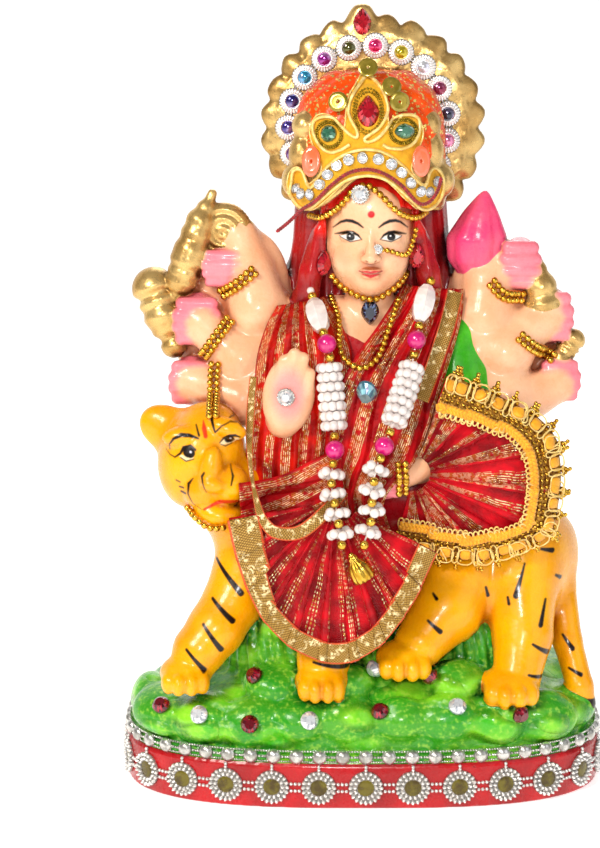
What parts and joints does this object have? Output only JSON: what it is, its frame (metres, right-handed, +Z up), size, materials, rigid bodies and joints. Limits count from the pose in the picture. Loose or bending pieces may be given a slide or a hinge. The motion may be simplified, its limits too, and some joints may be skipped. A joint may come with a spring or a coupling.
{
  "type": "durga figure",
  "caption": "Painted plaster goddess with a lobed halo seated on a standing tiger, on its own oval plinth, dressed with glued pleated cloth, bead strings and trims.",
  "frame": {"origin": "centre of the plinth's flat underside", "axes": "+Z up, the figure faces -Y, +X to the figure's left hand side, which is the viewer's right"},
  "size_m": [0.1556, 0.0906, 0.241],
  "materials": {
    "painted_plaster": "hand-painted in many colours under a glossy lacquer",
    "red_satin": "pleated red brocade satin with gold stripes",
    "gold_ribbon": "woven metallic gold ribbon with orange edge threads",
    "gold_lace": "yellow looped lace with gold threads",
    "gold_bead": "metallised plastic beads, bright gold",
    "silver_trim": "metallised plastic, bright silver",
    "white_bead": "opaque white",
    "pink_pearl": "glossy hot pink pearl",
    "clear_stone": "clear faceted acrylic on foil",
    "red_stone": "deep red faceted acrylic on foil",
    "green_stone": "green faceted acrylic on foil",
    "dark_stone": "dark navy faceted acrylic",
    "orange_disc": "glossy orange-pink",
    "sequin": "translucent olive-gold",
    "yellow_felt": "yellow felt edged with gold zari cord",
    "red_thread": "twisted cotton thread"
  },
  "bodies": {
    "root": {"cast_statue": "painted_plaster", "rosette_trim": "silver_trim", "bead_trim": "silver_trim", "halo_chain": "silver_trim", "rock_stone_red_1": "red_stone", "rock_stone_red_2": "red_stone", "rock_stone_red_3": "red_stone", "rock_stone_red_4": "red_stone", "rock_stone_red_5": "red_stone", "rock_stone_red_6": "red_stone", "rock_stone_clear_1": "clear_stone", "rock_stone_clear_2": "clear_stone", "rock_stone_clear_3": "clear_stone", "rock_stone_clear_4": "clear_stone", "palm_stone": "clear_stone", "halo_gem": "red_stone", "crown_patch": "yellow_felt", "crown_rhinestones": "clear_stone", "crown_thread": "red_thread", "crown_gem_red": "red_stone", "crown_gem_green_left": "green_stone", "crown_gem_green_right": "green_stone", "crown_sequin_1": "sequin", "crown_sequin_2": "sequin", "crown_sequin_3": "sequin", "crown_disc_left": "orange_disc", "crown_disc_right": "orange_disc", "shoulder_wrap_left": "red_satin", "shoulder_drape_right": "red_satin", "waist_sash": "red_satin", "skirt_fan_front": "red_satin", "skirt_border_front": "gold_ribbon", "skirt_fan_side": "red_satin", "skirt_lace_side": "gold_lace", "sash_ribbon": "gold_ribbon", "drape_ribbon": "gold_ribbon", "hairline_beads": "gold_bead", "forehead_stone": "clear_stone", "earring_left": "red_stone", "earring_right": "red_stone", "nose_ring": "gold_bead", "necklace_short": "gold_bead", "necklace_long": "gold_bead", "pendant_dark": "dark_stone", "pendant_crystal": "clear_stone", "garland_left": "white_bead", "garland_right": "white_bead", "garland_bell": "gold_bead", "bracelet_left_upper": "gold_bead", "bracelet_left_middle": "gold_bead", "bracelet_left_lower": "gold_bead", "bracelet_right_upper": "gold_bead", "bracelet_right_middle": "gold_bead", "bracelet_lap": "gold_bead", "tiger_collar": "gold_bead"}
  },
  "joints": []
}
